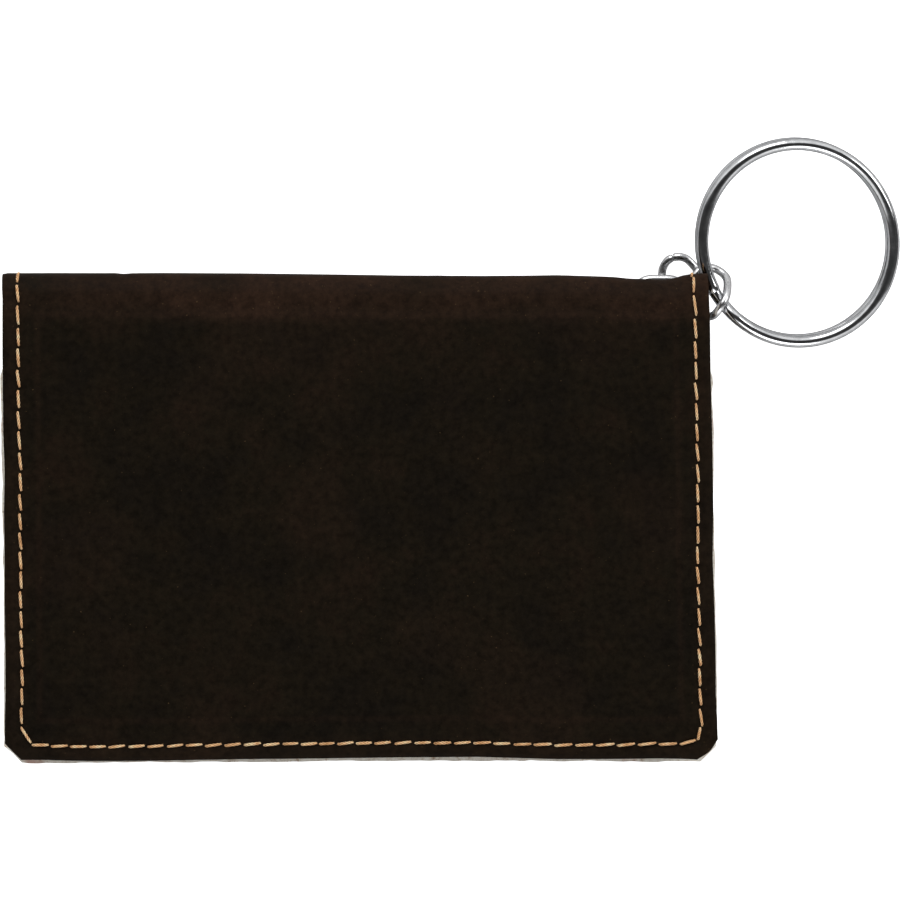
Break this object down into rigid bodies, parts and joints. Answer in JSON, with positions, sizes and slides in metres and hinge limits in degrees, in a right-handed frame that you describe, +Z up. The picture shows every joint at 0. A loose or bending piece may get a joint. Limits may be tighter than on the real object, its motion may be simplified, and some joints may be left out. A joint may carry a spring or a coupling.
{
  "type": "keychain id holder",
  "caption": "Bifold leatherette card holder with a clear identity-card window on its back, and a short chain with a split key ring at the end of the fold.",
  "frame": {"origin": "on the surface it lies on, under the middle of its whole outline with the key ring", "axes": "+X along the fold towards the key ring, +Y from the open edges towards the fold, +Z up out of the front cover"},
  "size_m": [0.1378, 0.0958, 0.0131],
  "materials": {
    "leatherette": "fine-grained, satin",
    "leatherette_inner": "fine-grained, satin",
    "lining_cloth": "matte",
    "grey_board": "matte pressed board",
    "clear_vinyl": "clear, glossy",
    "thread": "twisted thread",
    "chrome_wire": "bright plating"
  },
  "bodies": {
    "back": {"back_cover": "leatherette", "back_board": "grey_board", "back_lining": "lining_cloth", "back_card_pocket": "leatherette_inner", "back_stitching_left": "thread", "back_stitching_right": "thread", "id_frame": "leatherette_inner", "id_window": "clear_vinyl", "id_frame_stitching": "thread", "key_tab": "leatherette_inner", "tab_stitching": "thread"},
    "fold": {"spine_cover": "leatherette", "spine_lining": "lining_cloth", "spine_stitching_left": "thread", "spine_stitching_right": "thread"},
    "front": {"front_cover": "leatherette", "front_board": "grey_board", "front_lining": "lining_cloth", "front_card_pocket": "leatherette_inner", "front_stitching": "thread"},
    "link_1": {"chain_link_1": "chrome_wire"},
    "link_2": {"chain_link_2": "chrome_wire"},
    "link_3": {"chain_link_3": "chrome_wire"},
    "key_ring": {"split_ring": "chrome_wire"}
  },
  "joints": [
    {"name": "lower_fold", "type": "hinge", "parent": "back", "child": "fold", "pos_m": [-0.01432, 0.02662, 0.00797], "axis": [-1, 0, 0], "range_deg": [0, 90]},
    {"name": "upper_fold", "type": "hinge", "parent": "fold", "child": "front", "pos_m": [-0.01432, 0.02447, 0.01258], "axis": [-1, 0, 0], "range_deg": [0, 90]},
    {"name": "link_1_swing", "type": "hinge", "parent": "back", "child": "link_1", "pos_m": [0.03171, 0.02164, 0.00115], "axis": [-1, 0, 0], "range_deg": [0, 90]},
    {"name": "link_2_swing", "type": "hinge", "parent": "link_1", "child": "link_2", "pos_m": [0.03405, 0.02538, 0.00239], "axis": [-0.782, 0.5842, -0.2171], "range_deg": [-3, 25]},
    {"name": "link_3_swing", "type": "hinge", "parent": "link_2", "child": "link_3", "pos_m": [0.03764, 0.02593, 0.00226], "axis": [-0.1173, -0.942, 0.3143], "range_deg": [-12, 0]},
    {"name": "key_ring_swing", "type": "hinge", "parent": "link_3", "child": "key_ring", "pos_m": [0.04001, 0.02561, 0.00377], "axis": [-0.4459, 0.87, -0.2104], "range_deg": [-20, 35]}
  ],
  "couplings": [
    {"joint": "upper_fold", "follows": "lower_fold", "ratio": 1}
  ]
}
